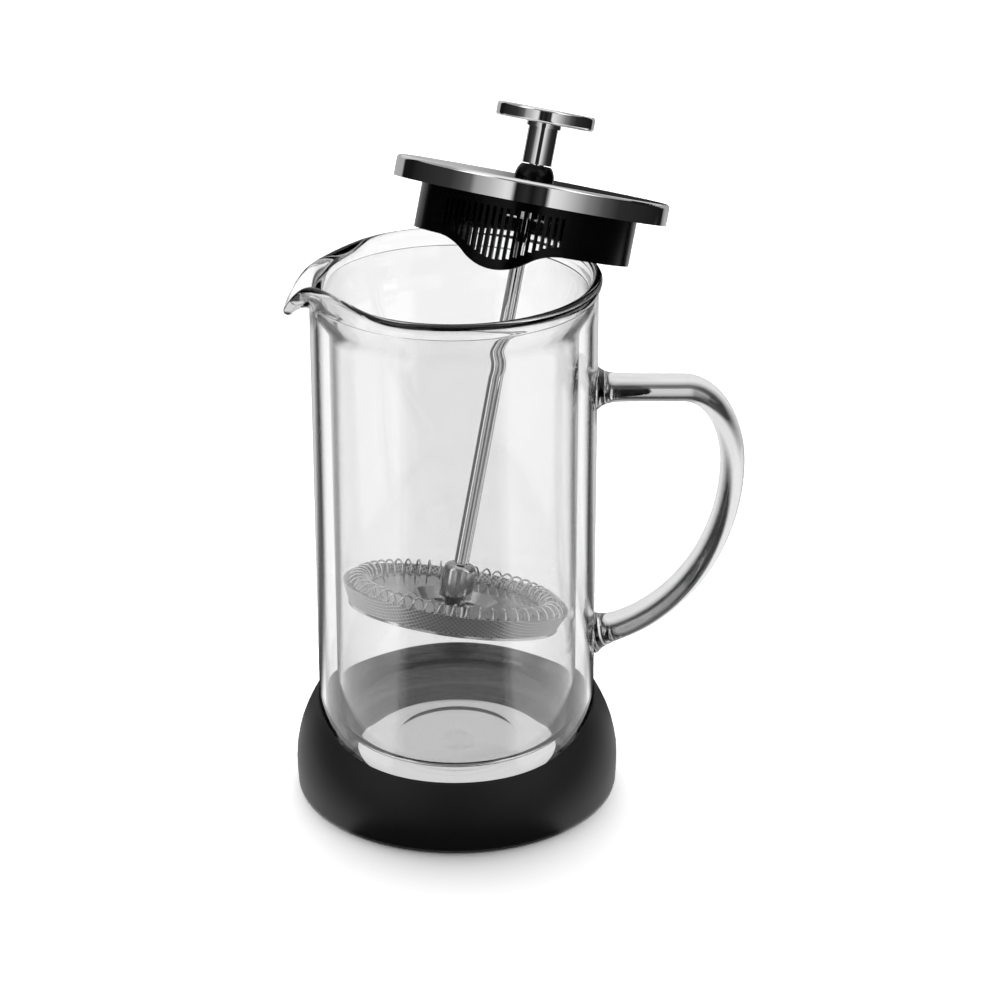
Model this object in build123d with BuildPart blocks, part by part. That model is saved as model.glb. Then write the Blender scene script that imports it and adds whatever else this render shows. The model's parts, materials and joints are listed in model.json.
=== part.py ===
from build123d import *
import os
from math import acos, atan2, cos, degrees, hypot, pi, radians, sin, sqrt, tan

# French press with a double-walled glass carafe, in millimetres.
# The origin is the middle of the underside of the foot, +Z is up, the handle is on +X and
# the spout on -X. The plunger leans in the carafe: its rod lies by the lip and the skirt
# of its lid stands on the rim.

# Carafe
BORE_DIAMETER = 71.0
RIM_HEIGHT = 166.3
OUTER_WALL = 2.2
INNER_WALL = 1.3
AIR_GAP = 3.5
FLOOR_HEIGHT = 22.0
FLOOR_ROUND = 7.0
SOLE_HEIGHT = 10.6
SOLE_ROUND = 9.0
NECK_DROP = 16.3
FLARE_RADIUS = 6.4
LIP_HEIGHT = 8.3
LIP_LEAN = 0.4
LIP_ROOT = 1.0
LIP_STEP = 0.1

# Spout
SPOUT_REACH = 7.6
SPOUT_DROP = 9.8
SPOUT_DROOP = 32.0
SPOUT_SPREAD = 13.0
PINCH_DEPTH = 2.6
PINCH_RISE = 1.2
PINCH_ANGLE = 33.0
PINCH_SPREAD = 13.0
SPOUT_SECTOR = 66.0
SPOUT_SECTIONS = 13

# Handle
HANDLE_REACH = 40.8
HANDLE_TOP = 130.5
HANDLE_WIDTH = 13.0
HANDLE_THICKNESS = 7.4
HANDLE_BEND = 17.0
HANDLE_GRIP = 14.0
HANDLE_SWEEP_RADIUS = 52.0
HANDLE_SWEEP_ANGLE = 73.0
WELD_GROWTH = 2.4
WELD_LENGTH = 4.6

# Foot and vent plug
FOOT_DIAMETER = 100.0
FOOT_HEIGHT = 20.5
FOOT_BULGE = 1.0
FOOT_BEVEL = 0.8
FOOT_LAND = 3.4
FOOT_COLLAR = 0.9
FOOT_LEDGE = 2.4
FOOT_OPENING = 62.0
GLASS_GAP = 0.15
VENT_DIAMETER = 7.0
PLUG_FLANGE = 11.0
PLUG_FLANGE_THICKNESS = 1.2
PLUG_HEAD = 0.8

# Lid
CAP_INSET = 0.8
CAP_HEIGHT = 6.4
CAP_SHEET = 1.0
CAP_ROUND = 1.1
SKIRT_CLEARANCE = 2.6
SKIRT_WALL = 1.7
SKIRT_DEPTH = 14.0
INSERT_TOP = 2.4
BOSS_DIAMETER = 15.0
BOSS_DEPTH = 3.2
TONGUE_ANGLE = -104.0
TONGUE_WIDTH = 39.0
TONGUE_DROP = 7.0
COMB_SLOTS = 19
COMB_PITCH = 3.6
SLOT_WIDTH = 1.05
SLOT_TOP = 2.8
SLOT_MARGIN = 3.0
DOME_DIAMETER = 12.0
DOME_HEIGHT = 4.2
SLEEVE_DIAMETER = 8.0
NUT_DIAMETER = 13.0
NUT_HEIGHT = 2.6

# Plunger
ROD_DIAMETER = 4.5
ROD_LENGTH = 146.5
KNOB_DIAMETER = 29.8
KNOB_THICKNESS = 4.3
KNOB_ROUND = 0.9
KNOB_GRIP = 2.5
STEM_DIAMETER = 9.0
STEM_LENGTH = 12.4
STEM_COLLAR = 10.4
STEM_COLLAR_HEIGHT = 1.3
HUB_DIAMETER = 10.1
HUB_HEIGHT = 13.75
HUB_NECK_DIAMETER = 6.8
HUB_NECK_HEIGHT = 2.9
HUB_ROUND = 2.6
HUB_GRIP = 9.0
HUB_GAP = 0.25

# Filter
FILTER_CLEARANCE = 0.45
FILTER_LEAN = 16.1
FILTER_DIRECTION = 57.8
MESH_SHEET = 0.4
MESH_HEIGHT = 6.0
MESH_TAPER = 2.8
PLATE_SHEET = 0.8
PLATE_SEAT_DIAMETER = 22.0
PLATE_WEB_ANGLE = 40.0
PLATE_WINDOWS = 6
PLATE_WINDOW_DIAMETER = 4.4
WIRE_DIAMETER = 0.8
WIRE_SIDES = 3
COIL_DIAMETER = 6.6
COIL_TURNS = 50
COIL_HOLE = 1.8
HOLE_SIDES = 6
COIL_GAP = 0.2
BOTTOM_HOLES = 16
BOTTOM_HOLE_DIAMETER = 5.0
SCREW_DIAMETER = 4.0
SCREW_HEAD_DIAMETER = 8.0
SCREW_HEAD_HEIGHT = 2.2
SCREW_SOCKET = 3.0
SCREW_GRIP = 3.4
SCREW_PLAY = 0.3
WASHER_DIAMETER = 11.0
WASHER_THICKNESS = 0.8

# Fits and the leaning pose
RUNNING_CLEARANCE = 0.05
FIT_CLEARANCE = 0.02
REST_GAP = 0.3
SKIRT_REST = 0.6
LIP_GAP = 1.6
LEAN_DIRECTION = 56.7

# Derived carafe sizes
bore_radius = BORE_DIAMETER / 2
vessel_radius = bore_radius + INNER_WALL
wall_inside = vessel_radius + AIR_GAP
wall_radius = wall_inside + OUTER_WALL
neck_height = RIM_HEIGHT - NECK_DROP
flare_axis = bore_radius + FLARE_RADIUS
lip_start = RIM_HEIGHT - LIP_HEIGHT
lip_middle = wall_radius - OUTER_WALL / 2
rim_radius = lip_middle + LIP_LEAN
rim_middle = RIM_HEIGHT - OUTER_WALL / 2

# Stations along the rod, measured up from the edge of the mesh
mesh_floor = -MESH_HEIGHT
plate_seat = mesh_floor + MESH_SHEET
coil_height = plate_seat + COIL_GAP + COIL_DIAMETER / 2
plate_top = plate_seat + PLATE_SHEET
hub_foot = plate_top + HUB_GAP
hub_top = hub_foot + HUB_HEIGHT
rod_foot = hub_top - HUB_GRIP
rod_top = rod_foot + ROD_LENGTH
knob_under = rod_top - KNOB_GRIP
stem_foot = knob_under - STEM_LENGTH
dome_top = stem_foot - REST_GAP
cap_top = dome_top - DOME_HEIGHT
cap_under = cap_top - CAP_HEIGHT
skirt_foot = cap_under - SKIRT_DEPTH
boss_foot = cap_under - BOSS_DEPTH
nut_foot = boss_foot - NUT_HEIGHT


def leaning_pose():
    """Lean of the rod and height of the mesh edge, with the rod by the lip and the lid on the rim."""
    ring = bore_radius - SKIRT_CLEARANCE - SKIRT_WALL
    lean = radians(20)
    offset = 0.0
    for step in range(40):
        crossing = sqrt(rim_radius**2 - ring**2 + offset**2)
        offset = (crossing - skirt_foot * sin(lean)) / cos(lean) + SKIRT_REST * tan(lean)
        height = RIM_HEIGHT - (skirt_foot - SKIRT_REST - crossing * sin(lean)) / cos(lean)
        rise = rim_middle - height
        reach = OUTER_WALL / 2 + ROD_DIAMETER / 2 + LIP_GAP
        lean = acos(reach / hypot(rim_radius, rise)) - atan2(rise, rim_radius)
    return lean, height


lean, mesh_height = leaning_pose()
lean_way = radians(LEAN_DIRECTION)
rod_way = Vector(sin(lean) * cos(lean_way), sin(lean) * sin(lean_way), cos(lean))
ROD = Plane(origin=(0, 0, mesh_height), x_dir=(1, 0, 0), z_dir=rod_way)
ROD_SIDE = Plane(origin=ROD.origin, x_dir=ROD.x_dir, z_dir=-ROD.y_dir)
ROD_AXIS = Axis(ROD.origin, rod_way)

# The filter hangs loose on the hub, so it leans less than the rod; its middle stays on the rod
filter_lean = radians(FILTER_LEAN)
filter_turn = radians(FILTER_DIRECTION)
filter_way = Vector(sin(filter_lean) * cos(filter_turn), sin(filter_lean) * sin(filter_turn), cos(filter_lean))
filter_origin = ROD.origin + (rod_way - filter_way) * coil_height
FILTER = Plane(origin=filter_origin, x_dir=(1, 0, 0), z_dir=filter_way)
FILTER_SIDE = Plane(origin=FILTER.origin, x_dir=FILTER.x_dir, z_dir=-FILTER.y_dir)
FILTER_AXIS = Axis(FILTER.origin, filter_way)
print(f"rod leans {degrees(lean):.2f} degrees, mesh edge at {mesh_height:.2f} mm")


def ring(inner, outer, low, high):
    """Rectangle of a turned ring, in the plane of its radius and its axis."""
    with Locations(((inner + outer) / 2, (low + high) / 2)):
        Rectangle(outer - inner, high - low)


# Carafe: inner vessel with its flared mouth
flare_angle = acos((flare_axis - wall_inside) / FLARE_RADIUS)
weld_radius = FLARE_RADIUS - INNER_WALL
weld_angle = acos((flare_axis - wall_inside) / weld_radius)
with BuildPart() as inner_glass:
    with BuildSketch(Plane.XZ):
        with BuildLine():
            floor_line = Line((0, FLOOR_HEIGHT), (bore_radius - FLOOR_ROUND, FLOOR_HEIGHT))
            floor_arc = JernArc(floor_line @ 1, floor_line % 1, FLOOR_ROUND, 90)
            bore_line = Line(floor_arc @ 1, (bore_radius, neck_height))
            flare_arc = JernArc(bore_line @ 1, bore_line % 1, FLARE_RADIUS, -degrees(flare_angle))
            weld_height = neck_height + weld_radius * sin(weld_angle)
            weld_line = Line(flare_arc @ 1, (wall_inside, weld_height))
            back_arc = RadiusArc(weld_line @ 1, (vessel_radius, neck_height), weld_radius)
            back_line = Line(back_arc @ 1, (vessel_radius, FLOOR_HEIGHT + FLOOR_ROUND))
            under_arc = JernArc(back_line @ 1, (0, -1), FLOOR_ROUND + INNER_WALL, -90)
            under_line = Line(under_arc @ 1, (0, FLOOR_HEIGHT - INNER_WALL))
            Line(under_line @ 1, floor_line @ 0)
        make_face()
    revolve(axis=Axis.Z)


# Carafe: outer wall, lip and spout
def bump(angle, spread):
    """Smooth bump of height one, which falls off over the spread."""
    return 2.0 ** -((angle / spread) ** 2)


def spout_shape(angle):
    """Radius, height and droop in degrees of the lip at an angle from the middle of the spout."""
    pour = bump(angle, SPOUT_SPREAD)
    pinch = bump(abs(angle) - PINCH_ANGLE, PINCH_SPREAD)
    radius = rim_radius + SPOUT_REACH * pour - PINCH_DEPTH * pinch * (1 - pour)
    height = rim_middle - SPOUT_DROP * pour + PINCH_RISE * pinch * (1 - pour)
    droop = (90 + SPOUT_DROOP) * pour
    return radius, height, droop


def lip_section(radius, height, droop):
    """Closed section of the lip: up from the wall, over to the edge, and round it."""
    half = OUTER_WALL / 2
    way = Vector(sin(radians(droop)), cos(radians(droop)))
    side = Vector(way.Y, -way.X)
    edge = Vector(radius, height)
    root = Vector(lip_middle, lip_start - LIP_ROOT)
    pull = (edge - root).length / 3
    out_of_wall = Vector(half - LIP_STEP, 0)
    rise = Vector(0, pull)
    outside = Bezier(root + out_of_wall, root + out_of_wall + rise * (1 - droop / 360),
                     edge + side * half - way * pull, edge + side * half)
    nose = ThreePointArc(outside @ 1, edge + way * half, edge - side * half)
    inside = Bezier(nose @ 1, edge - side * half - way * pull,
                    root - out_of_wall + rise * (1 + droop / 360), root - out_of_wall)
    Line(inside @ 1, outside @ 0)


def radial_plane(angle):
    """Upright plane through the carafe's axis, at an angle from the middle of the spout."""
    turn = radians(180 + angle)
    return Plane(origin=(0, 0, 0), x_dir=(cos(turn), sin(turn), 0), z_dir=(sin(turn), -cos(turn), 0))


with BuildPart() as spout:
    for section in range(SPOUT_SECTIONS):
        angle = SPOUT_SECTOR * (2 * section / (SPOUT_SECTIONS - 1) - 1)
        with BuildSketch(radial_plane(angle)):
            with BuildLine():
                if section in (0, SPOUT_SECTIONS - 1):
                    lip_section(rim_radius, rim_middle, 0)
                else:
                    lip_section(*spout_shape(angle))
            make_face()
    loft()

with BuildPart() as outer_glass:
    with BuildSketch(Plane.XZ):
        with BuildLine():
            sole = Line((VENT_DIAMETER / 2, SOLE_HEIGHT), (wall_radius - SOLE_ROUND, SOLE_HEIGHT))
            heel = JernArc(sole @ 1, sole % 1, SOLE_ROUND, 90)
            outside = Line(heel @ 1, (wall_radius, lip_start))
            edge = Line(outside @ 1, (wall_inside, lip_start))
            inside = Line(edge @ 1, (wall_inside, SOLE_HEIGHT + SOLE_ROUND))
            toe = JernArc(inside @ 1, (0, -1), SOLE_ROUND - OUTER_WALL, -90)
            top = Line(toe @ 1, (VENT_DIAMETER / 2, SOLE_HEIGHT + OUTER_WALL))
            Line(top @ 1, sole @ 0)
        make_face()
    revolve(axis=Axis.Z)
    with BuildSketch(radial_plane(SPOUT_SECTOR)):
        with BuildLine():
            lip_section(rim_radius, rim_middle, 0)
        make_face()
    revolve(axis=Axis.Z, revolution_arc=360 - 2 * SPOUT_SECTOR)
    add(spout.part)

# Carafe: glass handle, swept between its two welded ends
handle_x = wall_radius + HANDLE_REACH
weld_x = wall_radius + WELD_LENGTH


def handle_plane(point, way):
    """Plane square to the handle, with its first axis across the handle's width."""
    return Plane(origin=point, x_dir=(0, 1, 0), z_dir=way)


with BuildPart() as glass_handle:
    with BuildLine(Plane.XZ) as grip:
        arm = Line((weld_x, HANDLE_TOP), (handle_x - HANDLE_BEND, HANDLE_TOP))
        bend = JernArc(arm @ 1, arm % 1, HANDLE_BEND, -90)
        upright = Line(bend @ 1, (bend @ 1) + (bend % 1) * HANDLE_GRIP)
        JernArc(upright @ 1, upright % 1, HANDLE_SWEEP_RADIUS, -HANDLE_SWEEP_ANGLE)
    with BuildSketch(handle_plane(grip.line @ 0, grip.line % 0)):
        Ellipse(HANDLE_WIDTH / 2, HANDLE_THICKNESS / 2)
    sweep(path=grip.line)
    for end, way in ((grip.line @ 0, -(grip.line % 0)), (grip.line @ 1, grip.line % 1)):
        with BuildSketch(handle_plane(end, way)):
            Ellipse(HANDLE_WIDTH / 2, HANDLE_THICKNESS / 2)
        with BuildSketch(handle_plane(end + way * (end.X - wall_inside), way)):
            Ellipse(HANDLE_WIDTH / 2 + WELD_GROWTH, HANDLE_THICKNESS / 2 + WELD_GROWTH)
        loft()
    with BuildSketch(Plane.XY):
        Circle(wall_radius)
    extrude(amount=RIM_HEIGHT, mode=Mode.SUBTRACT)

# Carafe: foot ring, hollow underneath and open in the middle
foot_radius = FOOT_DIAMETER / 2
seat_radius = wall_radius + GLASS_GAP
seat_height = SOLE_HEIGHT - GLASS_GAP
collar_radius = seat_radius + FOOT_COLLAR
with BuildPart() as base_foot:
    with BuildSketch(Plane.XZ):
        with BuildLine():
            land = Line((foot_radius - FOOT_LAND, 0), (foot_radius - FOOT_BEVEL, 0))
            bevel = Line(land @ 1, (foot_radius, FOOT_BEVEL))
            collar = Vector(collar_radius, FOOT_HEIGHT)
            flank = SagittaArc(bevel @ 1, collar, -FOOT_BULGE)
            top = Line(collar, (seat_radius, FOOT_HEIGHT))
            seat_wall = Line(top @ 1, (seat_radius, SOLE_HEIGHT + SOLE_ROUND))
            seat_arc = JernArc(seat_wall @ 1, (0, -1), SOLE_ROUND + GLASS_GAP, -90)
            seat = Line(seat_arc @ 1, (FOOT_OPENING / 2, seat_height))
            mouth = Line(seat @ 1, (FOOT_OPENING / 2, seat_height - FOOT_LEDGE))
            roof = Line(mouth @ 1, (wall_radius - SOLE_ROUND, seat_height - FOOT_LEDGE))
            Line(roof @ 1, land @ 0)
        make_face()
    revolve(axis=Axis.Z)

# Carafe: vent plug, with its flange under the glass
plug_radius = VENT_DIAMETER / 2 - FIT_CLEARANCE
with BuildPart() as vent_plug:
    with BuildSketch(Plane.XZ):
        ring(0, PLUG_FLANGE / 2, SOLE_HEIGHT - PLUG_FLANGE_THICKNESS, SOLE_HEIGHT)
        ring(0, plug_radius, SOLE_HEIGHT, SOLE_HEIGHT + OUTER_WALL + PLUG_HEAD)
    revolve(axis=Axis.Z)
    fillet(vent_plug.edges().sort_by(Axis.Z)[0], PLUG_FLANGE_THICKNESS / 3)

# Lid: steel cap, a pressed sheet open underneath
cap_radius = wall_radius - CAP_INSET
cap_inside = cap_radius - CAP_SHEET
sleeve_radius = SLEEVE_DIAMETER / 2
with BuildPart() as lid_cap:
    with BuildSketch(ROD_SIDE):
        ring(sleeve_radius + FIT_CLEARANCE, cap_radius, cap_top - CAP_SHEET, cap_top)
        ring(cap_inside, cap_radius, cap_under, cap_top)
    revolve(axis=ROD_AXIS)
    rim_edges = lid_cap.edges().filter_by(GeomType.CIRCLE).group_by(SortBy.RADIUS)[-1]
    fillet(rim_edges.sort_by(ROD_AXIS)[-1], CAP_ROUND)

# Lid: black insert with the hollow skirt, its tongue and the straining comb
insert_radius = cap_inside - GLASS_GAP
insert_top = cap_top - CAP_SHEET
skirt_radius = bore_radius - SKIRT_CLEARANCE
skirt_inside = skirt_radius - SKIRT_WALL
tongue_turn = radians(TONGUE_ANGLE)
tongue_way = ROD.x_dir * cos(tongue_turn) + ROD.y_dir * sin(tongue_turn)
tongue_side = rod_way.cross(tongue_way)
TONGUE = Plane(origin=ROD.origin + rod_way * skirt_foot, x_dir=tongue_side, z_dir=tongue_way)


def tongue_drop(across):
    """Depth of the tongue below the skirt, at a distance across from its middle."""
    share = min(1.0, abs(across) / (TONGUE_WIDTH / 2))
    return TONGUE_DROP * (1 + cos(pi * share)) / 2


with BuildPart() as tongue:
    with BuildSketch(ROD_SIDE):
        ring(skirt_inside, skirt_radius, skirt_foot - TONGUE_DROP, skirt_foot)
    revolve(axis=ROD_AXIS)
    with BuildSketch(TONGUE):
        with BuildLine():
            half = TONGUE_WIDTH / 2
            left = TangentArc((-half, 0), (-half / 2, -TONGUE_DROP / 2), tangent=(1, 0))
            middle = ThreePointArc(left @ 1, (0, -TONGUE_DROP), (half / 2, -TONGUE_DROP / 2))
            right = TangentArc((half, 0), middle @ 1, tangent=(-1, 0))
            Line(right @ 0, left @ 0)
        make_face()
    extrude(amount=skirt_radius, mode=Mode.INTERSECT)

with BuildPart() as lid_insert:
    with BuildSketch(ROD_SIDE):
        ring(sleeve_radius + FIT_CLEARANCE, insert_radius, insert_top - INSERT_TOP, insert_top)
        ring(skirt_inside, insert_radius, cap_under, insert_top - INSERT_TOP)
        ring(skirt_inside, skirt_radius, skirt_foot, cap_under)
        ring(sleeve_radius + FIT_CLEARANCE, BOSS_DIAMETER / 2, boss_foot, insert_top - INSERT_TOP)
    revolve(axis=ROD_AXIS)
    add(tongue.part)
    for slot in range(COMB_SLOTS):
        turn = COMB_PITCH * (slot - (COMB_SLOTS - 1) / 2)
        slot_foot = skirt_foot - tongue_drop(skirt_radius * sin(radians(turn))) + SLOT_MARGIN
        with BuildSketch(ROD.offset(slot_foot)):
            with PolarLocations(skirt_radius - SKIRT_WALL / 2, 1, TONGUE_ANGLE + turn):
                Rectangle(2 * SKIRT_WALL, SLOT_WIDTH)
        extrude(amount=cap_under - SLOT_TOP - slot_foot, mode=Mode.SUBTRACT)

# Lid: domed bush that the rod runs through, and the nut that holds it
bush_bore = ROD_DIAMETER / 2 + RUNNING_CLEARANCE
with BuildPart() as lid_bush:
    with BuildSketch(ROD_SIDE):
        with BuildLine():
            crown = Line((bush_bore, dome_top), (STEM_DIAMETER / 2, dome_top))
            dome = RadiusArc(crown @ 1, (DOME_DIAMETER / 2, cap_top), DOME_DIAMETER / 2)
            shoulder = Line(dome @ 1, (sleeve_radius, cap_top))
            sleeve = Line(shoulder @ 1, (sleeve_radius, nut_foot))
            mouth = Line(sleeve @ 1, (bush_bore, nut_foot))
            Line(mouth @ 1, crown @ 0)
        make_face()
    revolve(axis=ROD_AXIS)

with BuildPart() as bush_nut:
    with BuildSketch(ROD_SIDE):
        ring(sleeve_radius + FIT_CLEARANCE, NUT_DIAMETER / 2, nut_foot, boss_foot)
    revolve(axis=ROD_AXIS)
    nut_edges = bush_nut.edges().filter_by(GeomType.CIRCLE).group_by(SortBy.RADIUS)[-1]
    chamfer(nut_edges.sort_by(ROD_AXIS)[0], NUT_HEIGHT / 5)

# Plunger: knob, stem and rod
knob_radius = KNOB_DIAMETER / 2
rod_radius = ROD_DIAMETER / 2
rod_fit = rod_radius + FIT_CLEARANCE
with BuildPart() as knob_disc:
    with BuildSketch(ROD_SIDE):
        ring(rod_fit, knob_radius, knob_under, rod_top)
        ring(0, knob_radius, rod_top, knob_under + KNOB_THICKNESS)
    revolve(axis=ROD_AXIS)
    fillet(knob_disc.edges().filter_by(GeomType.CIRCLE).group_by(SortBy.RADIUS)[-1], KNOB_ROUND)

with BuildPart() as knob_stem:
    with BuildSketch(ROD_SIDE):
        ring(rod_fit, STEM_DIAMETER / 2, stem_foot, knob_under)
        ring(rod_fit, STEM_COLLAR / 2, knob_under - STEM_COLLAR_HEIGHT, knob_under)
    revolve(axis=ROD_AXIS)

with BuildPart() as plunger_rod:
    with BuildSketch(ROD.offset(rod_foot)):
        Circle(rod_radius)
    extrude(amount=ROD_LENGTH)
    chamfer(plunger_rod.edges().filter_by(GeomType.CIRCLE), rod_radius / 6)

# Filter: hub nut with a rounded top, bored for the rod above and the screw below
screw_radius = SCREW_DIAMETER / 2
screw_top = plate_top + SCREW_GRIP
with BuildPart() as filter_hub:
    with BuildSketch(ROD_SIDE):
        ring(0, HUB_NECK_DIAMETER / 2, hub_foot, hub_top)
        ring(0, HUB_DIAMETER / 2, hub_foot + HUB_NECK_HEIGHT, hub_top)
    revolve(axis=ROD_AXIS)
    hub_edges = filter_hub.edges().filter_by(GeomType.CIRCLE)
    fillet(hub_edges.sort_by(ROD_AXIS)[-1], HUB_ROUND)
    with BuildSketch(ROD.offset(rod_foot)):
        Circle(rod_fit)
    extrude(amount=HUB_GRIP, mode=Mode.SUBTRACT)
    with BuildSketch(ROD.offset(hub_foot)):
        Circle(screw_radius + SCREW_PLAY)
    extrude(amount=SCREW_GRIP, mode=Mode.SUBTRACT)

# Filter: mesh turned up round the spring
mesh_radius = bore_radius - FILTER_CLEARANCE
mesh_foot_radius = mesh_radius - MESH_TAPER
screw_hole = screw_radius + FIT_CLEARANCE
with BuildPart() as mesh_screen:
    with BuildSketch(FILTER_SIDE):
        with BuildLine():
            Polyline(
                (screw_hole, mesh_floor),
                (mesh_foot_radius, mesh_floor),
                (mesh_radius, 0),
                (mesh_radius - MESH_SHEET, 0),
                (mesh_foot_radius - MESH_SHEET, plate_seat),
                (screw_hole, plate_seat),
                close=True,
            )
        make_face()
    revolve(axis=FILTER_AXIS)

# Filter: the coil lies against the inside of the mesh, its middle on the plate's flange
wire_radius = WIRE_DIAMETER / 2
coil_radius = (COIL_DIAMETER - WIRE_DIAMETER) / 2
taper = atan2(MESH_TAPER, MESH_HEIGHT - MESH_SHEET)
coil_reach = COIL_DIAMETER / 2 + COIL_GAP - coil_height * sin(taper)
coil_ring = mesh_radius - MESH_SHEET - coil_reach / cos(taper)
hole_ring = coil_ring - coil_radius

# Filter: stamped plate, its flange raised to the middle of the coil and drilled for each turn
flange_edge = coil_ring + coil_radius / 2
seat_edge = PLATE_SEAT_DIAMETER / 2
flange_foot = coil_height - PLATE_SHEET / 2
turn_angle = 360 / (COIL_TURNS + 1)
with BuildPart() as spring_plate:
    with BuildSketch(FILTER_SIDE):
        with BuildLine():
            web = (flange_foot - plate_seat) * tan(radians(PLATE_WEB_ANGLE))
            Polyline(
                (screw_hole, plate_seat),
                (seat_edge, plate_seat),
                (seat_edge + web, flange_foot),
                (flange_edge, flange_foot),
                (flange_edge, flange_foot + PLATE_SHEET),
                (seat_edge + web - PLATE_SHEET / 2, flange_foot + PLATE_SHEET),
                (seat_edge - PLATE_SHEET / 2, plate_top),
                (screw_hole, plate_top),
                close=True,
            )
        make_face()
    revolve(axis=FILTER_AXIS)
    with BuildSketch(FILTER.offset(flange_foot)):
        for turn in range(COIL_TURNS):
            with PolarLocations(hole_ring, 1, turn_angle * (turn + 0.5)):
                RegularPolygon(COIL_HOLE / 2, HOLE_SIDES)
    extrude(amount=PLATE_SHEET, mode=Mode.SUBTRACT)
    with BuildSketch(FILTER.offset(plate_seat)):
        with PolarLocations((HUB_DIAMETER / 2 + seat_edge) / 2, PLATE_WINDOWS):
            Circle(PLATE_WINDOW_DIAMETER / 2)
    extrude(amount=PLATE_SHEET, mode=Mode.SUBTRACT)


# Filter: coil spring threaded through the flange, one tube on biarcs of half a turn
def in_filter_frame(vector):
    """Direction given along the filter's own three axes, turned into the object's frame."""
    return FILTER.x_dir * vector.X + FILTER.y_dir * vector.Y + filter_way * vector.Z


def coil_point(half_turns):
    """Point and direction of the wire's middle line, after a count of half turns."""
    roll = pi * half_turns
    along = radians(turn_angle) / (2 * pi)
    turn = roll * along
    out = coil_ring + coil_radius * cos(roll)
    point = Vector(out * cos(turn), out * sin(turn), coil_height + coil_radius * sin(roll))
    outward = Vector(cos(turn), sin(turn), 0) * (-coil_radius * sin(roll))
    onward = Vector(-sin(turn), cos(turn), 0) * (out * along)
    way = outward + onward + Vector(0, 0, coil_radius * cos(roll))
    return FILTER.origin + in_filter_frame(point), in_filter_frame(way).normalized()


def biarc(start, start_way, end, end_way):
    """Two arcs that leave the start and reach the end in the given directions."""
    chord = end - start
    spread = 2 * (1 - start_way.dot(end_way))
    pull = chord.dot(start_way + end_way)
    reach = (sqrt(pull**2 + spread * chord.dot(chord)) - pull) / spread
    knee_way = (end - end_way * reach) - (start + start_way * reach)
    knee = start + start_way * reach + knee_way * 0.5
    TangentArc(start, knee, tangent=start_way)
    TangentArc(knee, end, tangent=knee_way)


wire_ends = [coil_point(count) for count in range(2 * COIL_TURNS + 1)]
with BuildPart() as coil_spring:
    with BuildLine() as coil_line:
        for first, second in zip(wire_ends, wire_ends[1:]):
            biarc(*first, *second)
    with BuildSketch(Plane(wire_ends[0][0], z_dir=wire_ends[0][1])):
        RegularPolygon(wire_radius, WIRE_SIDES)
    sweep(path=coil_line.wire(), clean=False)

# Filter: holed plate under the mesh
bottom_foot = mesh_floor - PLATE_SHEET
with BuildPart() as bottom_plate:
    with BuildSketch(FILTER_SIDE):
        ring(screw_hole, mesh_foot_radius, bottom_foot, mesh_floor)
    revolve(axis=FILTER_AXIS)
    with BuildSketch(FILTER.offset(bottom_foot)):
        with PolarLocations((WASHER_DIAMETER / 2 + mesh_foot_radius) / 2, BOTTOM_HOLES):
            Circle(BOTTOM_HOLE_DIAMETER / 2)
    extrude(amount=PLATE_SHEET, mode=Mode.SUBTRACT)

# Filter: clamp screw and its washer
washer_foot = bottom_foot - WASHER_THICKNESS
with BuildPart() as screw_washer:
    with BuildSketch(FILTER_SIDE):
        ring(screw_hole, WASHER_DIAMETER / 2, washer_foot, bottom_foot)
    revolve(axis=FILTER_AXIS)

with BuildPart() as clamp_screw:
    with BuildSketch(FILTER_SIDE):
        ring(0, SCREW_HEAD_DIAMETER / 2, washer_foot - SCREW_HEAD_HEIGHT, washer_foot)
        ring(0, screw_radius, washer_foot, screw_top)
    revolve(axis=FILTER_AXIS)
    head_edges = clamp_screw.edges().filter_by(GeomType.CIRCLE).group_by(SortBy.RADIUS)[-1]
    fillet(head_edges.sort_by(FILTER_AXIS)[0], SCREW_HEAD_HEIGHT / 3)
    with BuildSketch(FILTER.offset(washer_foot - SCREW_HEAD_HEIGHT)):
        RegularPolygon(SCREW_SOCKET / 2, 6)
    extrude(amount=SCREW_HEAD_HEIGHT * 0.6, mode=Mode.SUBTRACT)

# Least distance of the wire from itself, measured on points along it
samples = 24
wire_points = [coil_point(2 * count / samples)[0] for count in range(samples * COIL_TURNS + 1)]
nearest = min(
    (first - second).length
    for index, first in enumerate(wire_points)
    for second in wire_points[index + samples // 2: index + 2 * samples]
)
ends = (wire_points[0] - wire_points[-1]).length
print(f"spring: least gap {min(nearest, ends) - WIRE_DIAMETER:.2f} mm over {COIL_TURNS} turns")

pieces = {
    "outer_glass": outer_glass,
    "inner_glass": inner_glass,
    "glass_handle": glass_handle,
    "base_foot": base_foot,
    "vent_plug": vent_plug,
    "lid_cap": lid_cap,
    "lid_insert": lid_insert,
    "lid_bush": lid_bush,
    "bush_nut": bush_nut,
    "knob_disc": knob_disc,
    "knob_stem": knob_stem,
    "plunger_rod": plunger_rod,
    "filter_hub": filter_hub,
    "mesh_screen": mesh_screen,
    "spring_plate": spring_plate,
    "coil_spring": coil_spring,
    "bottom_plate": bottom_plate,
    "screw_washer": screw_washer,
    "clamp_screw": clamp_screw,
}
os.makedirs("parts", exist_ok=True)
for name, piece in pieces.items():
    piece.part.label = name
    export_step(piece.part, f"parts/{name}.step")
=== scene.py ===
import json
from math import atan2, cos, degrees, pi, radians, sin, sqrt

import bpy
from bpy.props import FloatProperty, FloatVectorProperty, IntProperty, PointerProperty
from mathutils import Matrix, Vector


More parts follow.
